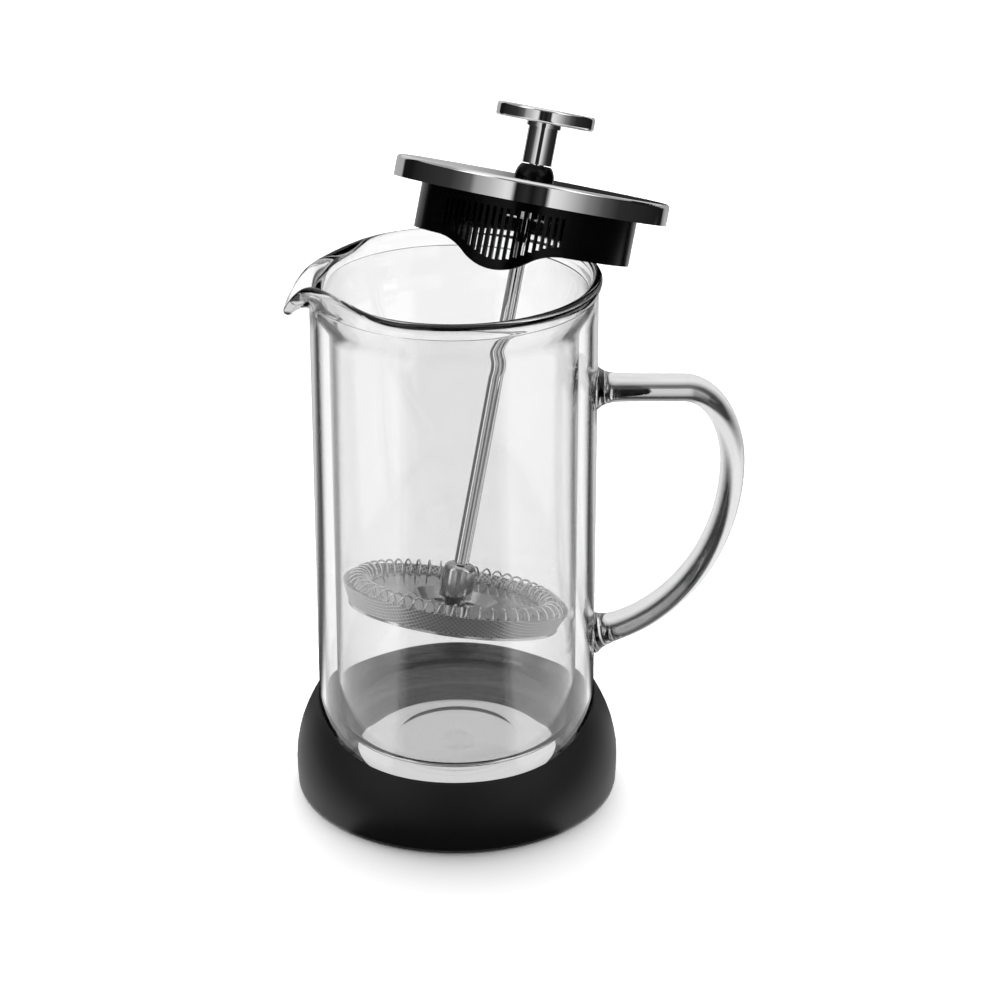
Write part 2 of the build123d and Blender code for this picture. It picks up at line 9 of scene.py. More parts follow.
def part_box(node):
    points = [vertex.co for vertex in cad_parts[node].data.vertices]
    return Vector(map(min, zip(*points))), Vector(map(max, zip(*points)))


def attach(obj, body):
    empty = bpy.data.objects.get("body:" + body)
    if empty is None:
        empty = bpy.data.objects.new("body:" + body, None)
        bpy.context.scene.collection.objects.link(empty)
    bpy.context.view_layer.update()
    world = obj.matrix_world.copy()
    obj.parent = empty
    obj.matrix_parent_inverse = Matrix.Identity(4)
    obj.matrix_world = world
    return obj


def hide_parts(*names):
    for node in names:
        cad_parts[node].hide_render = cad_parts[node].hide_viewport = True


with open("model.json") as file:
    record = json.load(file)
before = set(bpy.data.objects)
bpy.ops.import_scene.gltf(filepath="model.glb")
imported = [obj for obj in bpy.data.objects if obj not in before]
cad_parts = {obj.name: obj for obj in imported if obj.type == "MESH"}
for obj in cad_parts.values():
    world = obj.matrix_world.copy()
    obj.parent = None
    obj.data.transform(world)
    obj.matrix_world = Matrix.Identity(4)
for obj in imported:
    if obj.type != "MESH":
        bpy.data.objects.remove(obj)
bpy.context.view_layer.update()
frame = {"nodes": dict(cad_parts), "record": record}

bl_info = {
    "name": "French press",
    "version": (1, 0, 0),
    "blender": (4, 5, 0),
    "location": "View3D > Sidebar > French press",
    "description": "Dresses the packed french press: glass, steel, black plastics and the studio",
    "category": "Object",
}

MM = 0.001


# Frames of the plunger and its filter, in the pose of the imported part

FILTER_LEAN = radians(16.1)
FILTER_DIRECTION = radians(57.8)
FILTER_PIVOT = -2.1 * MM


def frame_along(origin, way):
    """Frame at an origin: Z along a direction, X as near to the carafe's X as it can be."""
    across = (Vector((1, 0, 0)) - way * way.x).normalized()
    turn = Matrix((across, way.cross(across), way)).transposed().to_4x4()
    return Matrix.Translation(origin) @ turn


def rod_frame():
    """Frame of the plunger: Z along the rod, its origin where the rod's line crosses x = 0."""
    joints = {joint["name"]: joint for joint in frame["record"]["behaviour"]["joints"]}
    way = Vector(joints["lid_slide"]["axis"]).normalized()
    low, high = (Vector(corner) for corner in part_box("plunger_rod"))
    middle = (low + high) / 2
    return frame_along(middle - way * (middle.x / way.x), way)


def filter_frame():
    """Frame of the filter, which hangs loose on the rod's end and leans less than the rod."""
    level = sin(FILTER_LEAN)
    way = Vector((level * cos(FILTER_DIRECTION), level * sin(FILTER_DIRECTION), cos(FILTER_LEAN)))
    return frame_along(ROD.translation + (ROD.col[2].xyz - way) * FILTER_PIVOT, way)


ROD = rod_frame()
FILTER = filter_frame()


# Settings

def length(name, text, default_mm):
    """A length property, given in millimetres and kept in metres."""
    return FloatProperty(name=name, description=text, default=default_mm * MM,
                         subtype="DISTANCE", unit="LENGTH", precision=5)


def rotation(name, text, default_degrees):
    """An angle property, given in degrees."""
    return FloatProperty(name=name, description=text, default=radians(default_degrees),
                         subtype="ANGLE", unit="ROTATION")


def shade(name, text, strength):
    """A colour property that starts as a grey."""
    return FloatVectorProperty(name=name, description=text, default=(strength,) * 3, size=3,
                               min=0, max=1, subtype="COLOR")


class CarafeSettings(bpy.types.PropertyGroup):
    """Sizes of the glass."""
    wall_radius: length("Wall radius", "Outside of the outer wall", 42.5)
    wall: length("Outer wall", "Thickness of the outer wall", 1.8)
    bore_radius: length("Bore radius", "Inside of the inner vessel", 35.5)
    vessel_wall: length("Inner wall", "Thickness of the inner vessel", 1.3)
    rim_height: length("Rim height", "Top of the lip above the table", 166.3)
    rim_radius: length("Rim radius", "Middle of the lip's bead", 42.0)
    bead: length("Lip bead", "Thickness of the rounded lip", 3.0)
    neck_height: length("Neck height", "Where the inner vessel starts to flare", 148.5)
    mouth_height: length("Mouth height", "Where the two walls meet under the lip", 161.8)
    mouth_dip: length("Mouth dip", "How much lower the walls meet at the spout", 6.0)
    floor_height: length("Floor height", "Inside floor above the table", 22.0)
    floor_round: length("Floor round", "Round between floor and bore", 3.5)
    sole_height: length("Sole height", "Underside of the outer glass", 10.6)
    sole_round: length("Sole round", "Round under the outer wall", 9.0)
    spout_reach: length("Spout reach", "How far the spout stands out", 6.7)
    spout_drop: length("Spout drop", "How far the spout's edge lies below the rim", 9.8)
    spout_droop: rotation("Spout droop", "Turn of the spout's edge past level", 48)
    pinch: length("Pinch", "How far the lip is drawn in beside the spout", 2.3)
    pinch_rise: length("Pinch rise", "How far the lip is raised beside the spout", 0.6)
    segments: IntProperty(name="Segments", description="Divisions round the carafe", default=288,
                          min=48)


class FootSettings(bpy.types.PropertyGroup):
    """Sizes of the foot."""
    radius: length("Radius", "Widest part of the foot", 50.0)
    front: length("Front height", "Top edge at the front", 20.5)
    back: length("Back height", "Top edge at the back", 25.0)
    side: length("Side height", "Top edge at both sides", 29.7)
    seat: length("Seat", "Ledge under the glass", 10.45)
    ledge: length("Ledge", "Thickness of the ledge", 2.4)
    opening: length("Opening", "Radius of the hole in the ledge", 31.0)
    hollow: length("Hollow", "Radius of the hollow underneath", 46.5)


class HandleSettings(bpy.types.PropertyGroup):
    """Sizes of the glass handle."""
    top: length("Top arm", "Height of the top arm's middle", 130.5)
    reach: length("Reach", "Middle of the grip from the outer wall", 40.75)
    width: length("Width", "Across the handle", 13.0)
    thickness: length("Thickness", "Through the handle", 7.4)
    bend: length("Bend", "Width of the upper bend's oval", 15.2)
    bend_height: length("Bend height", "Height of the upper bend's oval", 24.5)
    sweep: length("Sweep", "Width of the lower sweep's oval", 48.5)
    sweep_height: length("Sweep height", "Height of the lower sweep's oval", 57.0)
    sweep_angle: rotation("Sweep angle", "End of the lower sweep on its oval", 80)
    weld: length("Weld", "How far the glass swells where it is welded on", 2.4)


class FilterSettings(bpy.types.PropertyGroup):
    """Sizes of the coil spring."""
    coil_ring: length("Coil ring", "Radius of the ring that the coil goes round", 30.1)
    coil_radius: length("Coil radius", "Radius of one turn, at the wire's middle", 3.3)
    coil_height: length("Coil height", "Middle of the coil above the mesh edge", -0.9)
    wire: length("Wire", "Diameter of the spring wire", 0.6)
    turns: IntProperty(name="Turns", description="Turns of the coil", default=50, min=44, max=100)


class FinishSettings(bpy.types.PropertyGroup):
    """Colours of the finishes."""
    glass: shade("Glass", "Tint of the glass", 0.968)
    glass_thick: shade("Thick glass", "Tint of the solid glass of the handle", 0.74)
    # Painted dark reflection where the view grazes the glass
    glass_dark_reflection: shade("Glass edge", "Glass seen along its surface", 0.002)
    steel: shade("Steel", "Polished steel", 0.8)
    stamped: shade("Stamped steel", "Filter plates and hub", 0.6)
    wire: shade("Wire", "Drawn spring wire", 0.85)
    mesh: shade("Mesh", "Woven steel mesh", 0.7)
    # Painted shade on the sunken sides of the mesh wires
    mesh_shade: shade("Mesh shade", "Sunken sides of the mesh wires", 0.1)
    gloss_black: shade("Gloss black", "Moulded lid insert", 0.002)
    matte_black: shade("Matte black", "Rubbery foot", 0.005)
    # Painted highlight: the floor's reflection along the foot's lower edge
    foot_edge_highlight: shade("Foot edge", "Lower edge of the foot", 0.13)
    plug: shade("Plug", "Clear silicone plug", 0.98)


class StageSettings(bpy.types.PropertyGroup):
    """Camera, floor and light."""
    lens: FloatProperty(name="Lens", description="Focal length", default=106.2,
                        subtype="DISTANCE_CAMERA")
    camera_place: FloatVectorProperty(name="Camera place", description="Where the camera stands",
                                      size=3, default=(0.01349, -0.81294, 0.45818),
                                      subtype="XYZ", unit="LENGTH")
    camera_tilt: rotation("Camera tilt", "Turn of the camera up from straight down", 65.86)
    floor_size: length("Floor size", "Side of the square floor", 14000)
    floor: shade("Floor", "Pale studio floor", 0.9)
    white_seen: FloatProperty(name="White", description="Floor to the camera", default=1.48)
    white_through: FloatProperty(name="White through glass", description="Floor through the glass",
                                 default=1.0)
    # Painted light: the shaded floor under the foot glows for rays through the glass
    painted_light_under_foot: FloatProperty(name="White under the foot", description="Floor through the sole",
                               default=0.8)


class PressSettings(bpy.types.PropertyGroup):
    """All the settings of the french press."""
    carafe: PointerProperty(type=CarafeSettings)
    foot: PointerProperty(type=FootSettings)
    handle: PointerProperty(type=HandleSettings)
    filter: PointerProperty(type=FilterSettings)
    finish: PointerProperty(type=FinishSettings)
    stage: PointerProperty(type=StageSettings)


def settings():
    """The scene's own settings."""
    return bpy.context.scene.french_press


# Node helpers

class Nodes:
    """Short calls to add and join the nodes of one tree."""

    def __init__(self, tree):
        self.tree = tree

    def add(self, kind, **values):
        """Adds a node; attributes are set by name."""
        node = self.tree.nodes.new(kind)
        for name, value in values.items():
            setattr(node, name, value)
        return node

    def join(self, source, target):
        """Links an output to an input, or sets the input to a plain value."""
        if isinstance(source, bpy.types.NodeSocket):
            self.tree.links.new(source, target)
        else:
            target.default_value = source

    def fill(self, node, *sources):
        """Joins values or sockets to the first inputs of a node; gives its first output."""
        for source, target in zip(sources, node.inputs):
            self.join(source, target)
        return node.outputs[0]

    def math(self, operation, *values):
        """Math node on values or sockets; gives its result."""
        return self.fill(self.add("ShaderNodeMath", operation=operation), *values)

    def product(self, first, *others):
        """Product of a socket and other values or sockets."""
        for other in others:
            first = self.math("MULTIPLY", first, other)
        return first

    def distance(self, first, second):
        """Distance from the middle, by two coordinates."""
        squares = [self.product(side, side) for side in (first, second)]
        return self.math("SQRT", self.math("ADD", *squares))

    def place(self, kind="Object"):
        """Texture coordinates of a kind."""
        return self.add("ShaderNodeTexCoord").outputs[kind]

    def split(self, vector):
        """X, Y and Z of a vector."""
        node = self.add("ShaderNodeSeparateXYZ")
        self.join(vector, node.inputs[0])
        return node.outputs

    def dot(self, vector, fixed):
        """Dot product of a vector socket and a fixed vector."""
        node = self.add("ShaderNodeVectorMath", operation="DOT_PRODUCT")
        self.fill(node, vector, fixed)
        return node.outputs["Value"]

    def spread(self, value, low, high, to_low=0.0, to_high=1.0):
        """Smooth step of a value between two limits."""
        node = self.add("ShaderNodeMapRange", interpolation_type="SMOOTHSTEP")
        return self.fill(node, value, low, high, to_low, to_high)

    def mix(self, share, first, second):
        """Mix of two colours or sockets; gives its result."""
        node = self.add("ShaderNodeMix", data_type="RGBA")
        for source, name in ((share, "Factor"), (first, "A"), (second, "B")):
            self.join(source, node.inputs[name])
        return node.outputs["Result"]

    def plain(self, kind, colour):
        """Shader of a kind, with a colour or socket."""
        node = self.add(kind)
        self.join(colour, node.inputs["Color"])
        return node.outputs[0]

    def blend(self, share, first, second):
        """Mix of two shaders."""
        return self.fill(self.add("ShaderNodeMixShader"), share, first, second)

    def surface(self, source):
        """Leads a shader to the material's output."""
        self.join(source, self.tree.nodes["Material Output"].inputs["Surface"])


def grey(strength):
    """A grey with its alpha."""
    return (strength, strength, strength, 1.0)


def opaque(tint):
    """A colour with its alpha."""
    return (*tint, 1.0)


def set_inputs(node, values):
    """Sets inputs of a node by name, with _ for each space."""
    for name, value in values.items():
        node.inputs[name.replace("_", " ")].default_value = value


def new_material(name, **values):
    """A new material with one Principled shader; gives the material, its nodes and the shader."""
    material = bpy.data.materials.new(name)
    material.use_nodes = True
    shader = material.node_tree.nodes["Principled BSDF"]
    set_inputs(shader, values)
    return material, Nodes(material.node_tree), shader


def new_group(name, inputs, outputs):
    """A new shader node group, with inputs as (name, kind, default) and outputs as (name, kind)."""
    group = bpy.data.node_groups.new(name, "ShaderNodeTree")
    for title, kind, default in inputs:
        socket = group.interface.new_socket(title, in_out="INPUT", socket_type=kind)
        socket.default_value = default
    for title, kind in outputs:
        group.interface.new_socket(title, in_out="OUTPUT", socket_type=kind)
    nodes = Nodes(group)
    return group, nodes, nodes.add("NodeGroupInput").outputs, nodes.add("NodeGroupOutput").inputs


def place_group(nodes, group, **values):
    """Places a group in a material and sets its inputs by name."""
    node = nodes.add("ShaderNodeGroup", node_tree=group)
    set_inputs(node, values)
    return node


def surface_grain():
    """Group: fine grain and faint smudges, as a height and as a roughness."""
    group, nodes, given, result = new_group(
        "surface_grain",
        [("Grain size", "NodeSocketFloat", 400.0), ("Smudge size", "NodeSocketFloat", 25.0),
         ("Roughness", "NodeSocketFloat", 0.3), ("Smudge", "NodeSocketFloat", 0.05)],
        [("Height", "NodeSocketFloat"), ("Roughness", "NodeSocketFloat")])
    place = nodes.place()
    noises = []
    for size, detail in (("Grain size", 3), ("Smudge size", 4)):
        noise = nodes.add("ShaderNodeTexNoise")
        nodes.join(place, noise.inputs["Vector"])
        nodes.join(given[size], noise.inputs["Scale"])
        noise.inputs["Detail"].default_value = detail
        noises.append(noise.outputs["Fac"])
    grain, smudge = noises
    off = nodes.math("SUBTRACT", smudge, 0.5)
    rough = nodes.math("MULTIPLY_ADD", off, given["Smudge"], given["Roughness"])
    nodes.join(grain, result["Height"])
    nodes.join(rough, result["Roughness"])
    return group


def add_bump(nodes, shader, height, distance, strength):
    """Leads a height to the shader's normal."""
    relief = nodes.add("ShaderNodeBump")
    set_inputs(relief, {"Distance": distance, "Strength": strength})
    nodes.join(height, relief.inputs["Height"])
    nodes.join(relief.outputs["Normal"], shader.inputs["Normal"])


def add_grain(nodes, shader, grain_size, smudge_size, roughness, smudge, relief=None, strength=1.0):
    """Leads smudges to the shader's roughness, and the grain to its normal if there is a relief."""
    group = bpy.data.node_groups.get("surface_grain") or surface_grain()
    grain = place_group(nodes, group, Grain_size=grain_size, Smudge_size=smudge_size,
                        Roughness=roughness, Smudge=smudge)
    nodes.join(grain.outputs["Roughness"], shader.inputs["Roughness"])
    if relief:
        add_bump(nodes, shader, grain.outputs["Height"], relief, strength)


# Finishes

def polished_steel():
    """Mirror-polished steel with faint smudges."""
    material, nodes, shader = new_material(
        "polished_steel", Base_Color=opaque(settings().finish.steel), Metallic=1.0)
    add_grain(nodes, shader, grain_size=900.0, smudge_size=60.0, roughness=0.03, smudge=0.03,
              relief=0.003 * MM, strength=0.1)
    return material


def stamped_steel():
    """Duller steel of the stamped and turned filter parts."""
    material, nodes, shader = new_material(
        "stamped_steel", Base_Color=opaque(settings().finish.stamped), Metallic=1.0)
    add_grain(nodes, shader, grain_size=900.0, smudge_size=90.0, roughness=0.12, smudge=0.12,
              relief=0.01 * MM, strength=0.3)
    return material


def spring_wire():
    """Bright drawn wire."""
    material, nodes, shader = new_material(
        "spring_wire", Base_Color=opaque(settings().finish.wire), Metallic=1.0)
    add_grain(nodes, shader, grain_size=2500.0, smudge_size=200.0, roughness=0.16, smudge=0.1)
    return material


MESH_PITCH = 1.1 * MM
MESH_RISE = 6.0 * MM
MESH_UNROLL = 0.637
MESH_MIDDLE = 1.0 * MM
MESH_OPEN = (0.45, 0.62)
# Wire heights between which the painted shade on the wires' sides fades out
MESH_SHADED = (0.6, 0.97)


def woven_mesh():
    """Fine woven wire, see-through between the wires, laid out as the flat disc it was cut from."""
    material, nodes, shader = new_material("woven_mesh", Metallic=1.0)
    finish = settings().finish
    offset = nodes.add("ShaderNodeVectorMath", operation="SUBTRACT")
    from_middle = nodes.fill(offset, nodes.place(), FILTER.translation)
    across, aside, along = (nodes.dot(from_middle, FILTER.col[axis].xyz) for axis in range(3))
    reach = nodes.distance(across, aside)
    raised = nodes.math("ADD", along, MESH_RISE)
    flat = nodes.math("MULTIPLY_ADD", raised, MESH_UNROLL, reach)
    share = nodes.math("DIVIDE", flat, nodes.math("MAXIMUM", reach, MESH_MIDDLE))
    wires = []
    for diagonal in ("ADD", "SUBTRACT"):
        turn = nodes.product(nodes.math(diagonal, across, aside), share,
                             pi / (MESH_PITCH * sqrt(2)))
        wires.append(nodes.math("ABSOLUTE", nodes.math("SINE", turn)))
    height = nodes.math("MAXIMUM", *wires)
    nodes.join(nodes.spread(height, *MESH_OPEN), shader.inputs["Alpha"])
    # Painted shade: darker on the sunken sides of the wires
    tint = nodes.mix(nodes.spread(height, *MESH_SHADED), opaque(finish.mesh_shade),
                     opaque(finish.mesh))
    nodes.join(tint, shader.inputs["Base Color"])
    add_grain(nodes, shader, grain_size=1500.0, smudge_size=150.0, roughness=0.32, smudge=0.2)
    add_bump(nodes, shader, height, distance=0.3 * MM, strength=0.8)
    return material


def gloss_black():
    """Glossy moulded black plastic."""
    material, nodes, shader = new_material(
        "gloss_black", Base_Color=opaque(settings().finish.gloss_black), Specular_IOR_Level=0.13)
    add_grain(nodes, shader, grain_size=700.0, smudge_size=40.0, roughness=0.16, smudge=0.08,
              relief=0.01 * MM, strength=0.3)
    return material


# Heights above the table where the painted highlight along the foot's lower edge fades out
FOOT_HIGHLIGHT_HEIGHTS = (0.7 * MM, 1.2 * MM)


def matte_black():
    """Soft matte black, finely grained; a painted floor reflection lightens the edge on the table.
    """
    material, nodes, shader = new_material("matte_black", Specular_IOR_Level=0.3)
    finish = settings().finish
    # Painted highlight: the floor's reflection, lighter along the edge on the table
    edge_highlight = nodes.spread(nodes.split(nodes.place())["Z"], *FOOT_HIGHLIGHT_HEIGHTS, 1.0, 0.0)
    tint = nodes.mix(edge_highlight, opaque(finish.matte_black), opaque(finish.foot_edge_highlight))
    nodes.join(tint, shader.inputs["Base Color"])
    add_grain(nodes, shader, grain_size=1600.0, smudge_size=30.0, roughness=0.5, smudge=0.06,
              relief=0.04 * MM, strength=0.35)
    return material


def silicone():
    """Clear silicone of the vent plug, nearly unseen in the glass."""
    material, nodes, shader = new_material(
        "silicone", Base_Color=opaque(settings().finish.plug), Alpha=0.03)
    add_grain(nodes, shader, grain_size=1200.0, smudge_size=80.0, roughness=0.3, smudge=0.1)
    return material


WALL_BELOW_MOUTH = 4 * MM
WALL_PLAY = 0.4 * MM
BORE_PLAY = 0.8 * MM
LIP_START, LIP_FULL = 6 * MM, 3 * MM
HANDLE_START, HANDLE_FULL = 0.4 * MM, 2 * MM


def glass_places():
    """Group: masks of the glass: inside of the outer wall, bore, lip and handle."""
    group, nodes, _, result = new_group(
        "glass_places", [],
        [(name, "NodeSocketFloat") for name in ("Wall", "Bore", "Lip", "Handle")])
    sizes = settings().carafe
    across, aside, high = nodes.split(nodes.place())
    reach = nodes.distance(across, aside)
    inside = sizes.wall_radius - sizes.wall
    wall = nodes.product(
        nodes.math("COMPARE", reach, inside, WALL_PLAY),
        nodes.math("LESS_THAN", high, sizes.mouth_height - WALL_BELOW_MOUTH))
    bore = nodes.product(
        nodes.math("LESS_THAN", reach, inside - BORE_PLAY),
        nodes.math("LESS_THAN", high, sizes.mouth_height - sizes.mouth_dip))
    rim = nodes.spread(high, sizes.rim_height - LIP_START, sizes.rim_height - LIP_FULL)
    handle = nodes.product(
        nodes.spread(reach, sizes.wall_radius + HANDLE_START, sizes.wall_radius + HANDLE_FULL),
        nodes.math("GREATER_THAN", across, 0.0))
    for name, mask in (("Wall", wall), ("Bore", bore), ("Lip", rim), ("Handle", handle)):
        nodes.join(mask, result[name])
    return group


# Painted dark reflections on the glass, in thin lines: place, depth, and the facing between which
# they fade in
PAINTED_DARK_REFLECTIONS = (("Wall", 1.0, (0.245, 0.262)), ("Bore", 0.75, (0.252, 0.266)),
              ("Handle", 1.0, (0.07, 0.2)), ("Lip", 0.1, (0.07, 0.2)))
LAMP_SHARE = 0.97


def clear_glass():
    """Clear glass with painted dark reflections in thin lines where the view grazes it; lamps shine
    through it.
    """
    material, nodes, shader = new_material("clear_glass", Roughness=0.0, IOR=1.47,
                                           Transmission_Weight=1.0)
    finish = settings().finish
    places = place_group(nodes, glass_places()).outputs
    facing = nodes.add("ShaderNodeLayerWeight").outputs["Facing"]
    leaving = nodes.add("ShaderNodeNewGeometry").outputs["Backfacing"]
    # Painted dark reflections: darker where the view grazes the glass
    painted_dark = 0.0
    for name, depth, limits in PAINTED_DARK_REFLECTIONS:
        edge = nodes.spread(facing, *limits)
        painted_dark = nodes.math("MAXIMUM", painted_dark, nodes.product(edge, leaving, places[name], depth))
    tint = nodes.mix(places["Handle"], opaque(finish.glass), opaque(finish.glass_thick))
    nodes.join(nodes.mix(painted_dark, tint, opaque(finish.glass_dark_reflection)), shader.inputs["Base Color"])
    rays = nodes.add("ShaderNodeLightPath").outputs
    lit = nodes.math("MAXIMUM", rays["Is Shadow Ray"], rays["Is Diffuse Ray"])
    clear = nodes.plain("ShaderNodeBsdfTransparent", grey(LAMP_SHARE))
    nodes.surface(nodes.blend(lit, shader.outputs["BSDF"], clear))
    return material


# Mesh helpers

def new_piece(name, vertices, faces, material, body, *nodes):
    """A smooth mesh piece that rides on a body and stands for CAD nodes."""
    mesh = bpy.data.meshes.new(name)
    mesh.from_pydata(vertices, [], faces)
    mesh.validate()
    piece = bpy.data.objects.new(name, mesh)
    bpy.context.scene.collection.objects.link(piece)
    mesh.materials.append(material)
    mesh.shade_smooth()
    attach(piece, body)
    if nodes:
        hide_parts(*nodes)
    return piece


def full_turn(count):
    """Angles of a full turn in equal steps."""
    return [2 * pi * step / count for step in range(count)]


def arc(centre, radius, start, end, count):
    """Points on an arc of radius and height, without its last; angles from the radius axis."""
    turns = (start + (end - start) * step / count for step in range(count))
    return [(centre[0] + radius * cos(turn), centre[1] + radius * sin(turn)) for turn in turns]


def line(start, end, count):
    """Points on a line, without its last."""
    return [(start[0] + (end[0] - start[0]) * step / count,
             start[1] + (end[1] - start[1]) * step / count) for step in range(count)]


def bezier(points, share):
    """Point on a cubic curve."""
    rest = 1 - share
    weights = (rest**3, 3 * rest**2 * share, 3 * rest * share**2, share**3)
    return sum((point * weight for point, weight in zip(points, weights)), Vector((0, 0)))


def around(profile, turn):
    """Points of a profile of radius and height, at an angle round Z."""
    return [(radius * cos(turn), radius * sin(turn), height) for radius, height in profile]


def lathe(profile, count):
    """Closed surface round Z; profile(angle) gives its points, the first and last on the axis."""
    rows = [profile(turn) for turn in full_turn(count)]
    vertices = [(0.0, 0.0, rows[0][0][1]), (0.0, 0.0, rows[0][-1][1])]
    for row, turn in zip(rows, full_turn(count)):
        vertices += around(row[1:-1], turn)
    ring = len(rows[0]) - 2
    faces = []
    for step in range(count):
        here, there = 2 + step * ring, 2 + (step + 1) % count * ring
        faces.append((0, there, here))
        faces += [(here + index, there + index, there + index + 1, here + index + 1)
                  for index in range(ring - 1)]
        faces.append((1, here + ring - 1, there + ring - 1))
    return vertices, faces


def tube(sections, centres=None):
    """Tube through rings of points: capped at the first and last centre, or closed to a loop."""
    vertices = [point for ring in sections for point in ring]
    rings, count = len(sections), len(sections[0])
    faces = []
    for index in range(rings - 1 if centres else rings):
        here, there = index * count, (index + 1) % rings * count
        faces += [(here + side, here + (side + 1) % count, there + (side + 1) % count, there + side)
                  for side in range(count)]
    if centres:
        vertices += [centres[0], centres[-1]]
        first, last = len(vertices) - 2, len(vertices) - 1
        end = (rings - 1) * count
        faces += [(first, (side + 1) % count, side) for side in range(count)]
        faces += [(last, end + side, end + (side + 1) % count) for side in range(count)]
    return vertices, faces


# Carafe

# Spread of the spout's parts round the carafe, in degrees from its middle
REACH_SPREAD = 8.8
DROP_SPREAD = 6.8
DIP_SPREAD = 14.0
PINCH_ANGLE = 35.0
PINCH_SPREAD = 15.0


def swell(offset, spread):
    """Smooth swell of height one, which falls to a half at the spread."""
    return 2.0 ** -((offset / spread) ** 2)


def off_spout(angle):
    """Degrees between an angle round the carafe and the middle of the spout."""
    return abs((degrees(angle) + 360) % 360 - 180)


def spout_edge(angle):
    """Radius, height and droop of the lip's edge at an angle round the carafe."""
    sizes = settings().carafe
    off = off_spout(angle)
    reach, drop = swell(off, REACH_SPREAD), swell(off, DROP_SPREAD)
    pinch = swell(off - PINCH_ANGLE, PINCH_SPREAD) * (1 - reach)
    radius = sizes.rim_radius + sizes.spout_reach * reach - sizes.pinch * pinch
    height = (sizes.rim_height - sizes.bead / 2 - sizes.spout_drop * drop
              + sizes.pinch_rise * pinch)
    return radius, height, (pi / 2 + sizes.spout_droop) * reach


def mouth(angle):
    """Height at which the two walls meet, lower at the spout."""
    sizes = settings().carafe
    return sizes.mouth_height - sizes.mouth_dip * swell(off_spout(angle), DIP_SPREAD)


LIP_STEPS = 18
LIP_AHEAD = 0.01
SPOUT_ARCH = 0.12
NOSE_STEPS = 14
FLARE_STEPS = 20
FLARE_PULL = 0.45


def lip(angle):
    """Outside of the lip, its rounded edge, and its inside down to where the walls meet."""
    sizes = settings().carafe
    radius, height, droop = spout_edge(angle)
    half = sizes.bead / 2
    root = Vector((sizes.wall_radius - half, mouth(angle)))
    edge = Vector((radius, height))
    way = Vector((sin(droop), cos(droop)))
    pull = (edge - root).length * (1 / 3 + SPOUT_ARCH * swell(off_spout(angle), REACH_SPREAD))
    controls = (root, root + Vector((0, pull)), edge - way * pull, edge)
    outside, inside = [], []
    for step in range(LIP_STEPS + 1):
        share = step / LIP_STEPS
        point = bezier(controls, share)
        ahead = (bezier(controls, min(1.0, share + LIP_AHEAD))
                 - bezier(controls, max(0.0, share - LIP_AHEAD)))
        side = Vector((ahead.y, -ahead.x)).normalized() * half
        outside.append(point + side)
        inside.append(point - side)
    side = Vector((way.y, -way.x))
    turns = [pi * step / NOSE_STEPS for step in range(1, NOSE_STEPS)]
    nose = [edge + (side * cos(turn) + way * sin(turn)) * half for turn in turns]
    return [tuple(point) for point in outside + nose + inside[::-1]]


def flare(top, foot):
    """Flared mouth of the inner vessel, an S-curve from its top down to its foot."""
    pull = (top[1] - foot[1]) * FLARE_PULL
    controls = (Vector(top), Vector((top[0], top[1] - pull)), Vector((foot[0], foot[1] + pull)),
                Vector(foot))
    return [tuple(bezier(controls, step / FLARE_STEPS)) for step in range(FLARE_STEPS)]


# Moulded rings on the glass sole: radius, spread and height in millimetres
SOLE_RINGS = ((19.8, 0.9, 0.35), (28.5, 1.2, 0.15))


def sole_ridges(radius):
    """Height of the moulded rings on the glass sole."""
    return sum(tall * MM * swell(radius / MM - middle, wide) for middle, wide, tall in SOLE_RINGS)


# Divisions of the glass along its profile
SOLE_STEPS, HEEL_STEPS, WALL_STEPS, CORNER_STEPS, FLOOR_STEPS = 10, 12, 24, 12, 12
RIDGE_STEPS, TOE_STEPS, TIP_STEPS, UNDER_STEPS = 48, 10, 8, 10
CAVITY_ROUND = 0.3 * MM
MOUTH_WEB = 0.9 * MM


def glass_rounds():
    """Middles of the rounds under the outer wall and at the inside floor."""
    sizes = settings().carafe
    return ((sizes.wall_radius - sizes.sole_round, sizes.sole_height + sizes.sole_round),
            (sizes.bore_radius - sizes.floor_round, sizes.floor_height + sizes.floor_round))


def glass_profile(angle):
    """Outside of the glass: sole, wall, lip, flare, bore and floor."""
    sizes = settings().carafe
    heel, corner = glass_rounds()
    rim = lip(angle)
    neck = (sizes.bore_radius, sizes.neck_height)
    middle = (0, sizes.floor_height)
    points = line((0, sizes.sole_height), (heel[0], sizes.sole_height), SOLE_STEPS)
    points += arc(heel, sizes.sole_round, -pi / 2, 0, HEEL_STEPS)
    points += line((sizes.wall_radius, heel[1]), rim[0], WALL_STEPS)
    points += rim[:-1]
    points += flare(rim[-1], neck)
    points += line(neck, (sizes.bore_radius, corner[1]), WALL_STEPS)
    points += arc(corner, sizes.floor_round, 0, -pi / 2, CORNER_STEPS)
    points += line((corner[0], sizes.floor_height), middle, FLOOR_STEPS)
    return points + [middle]


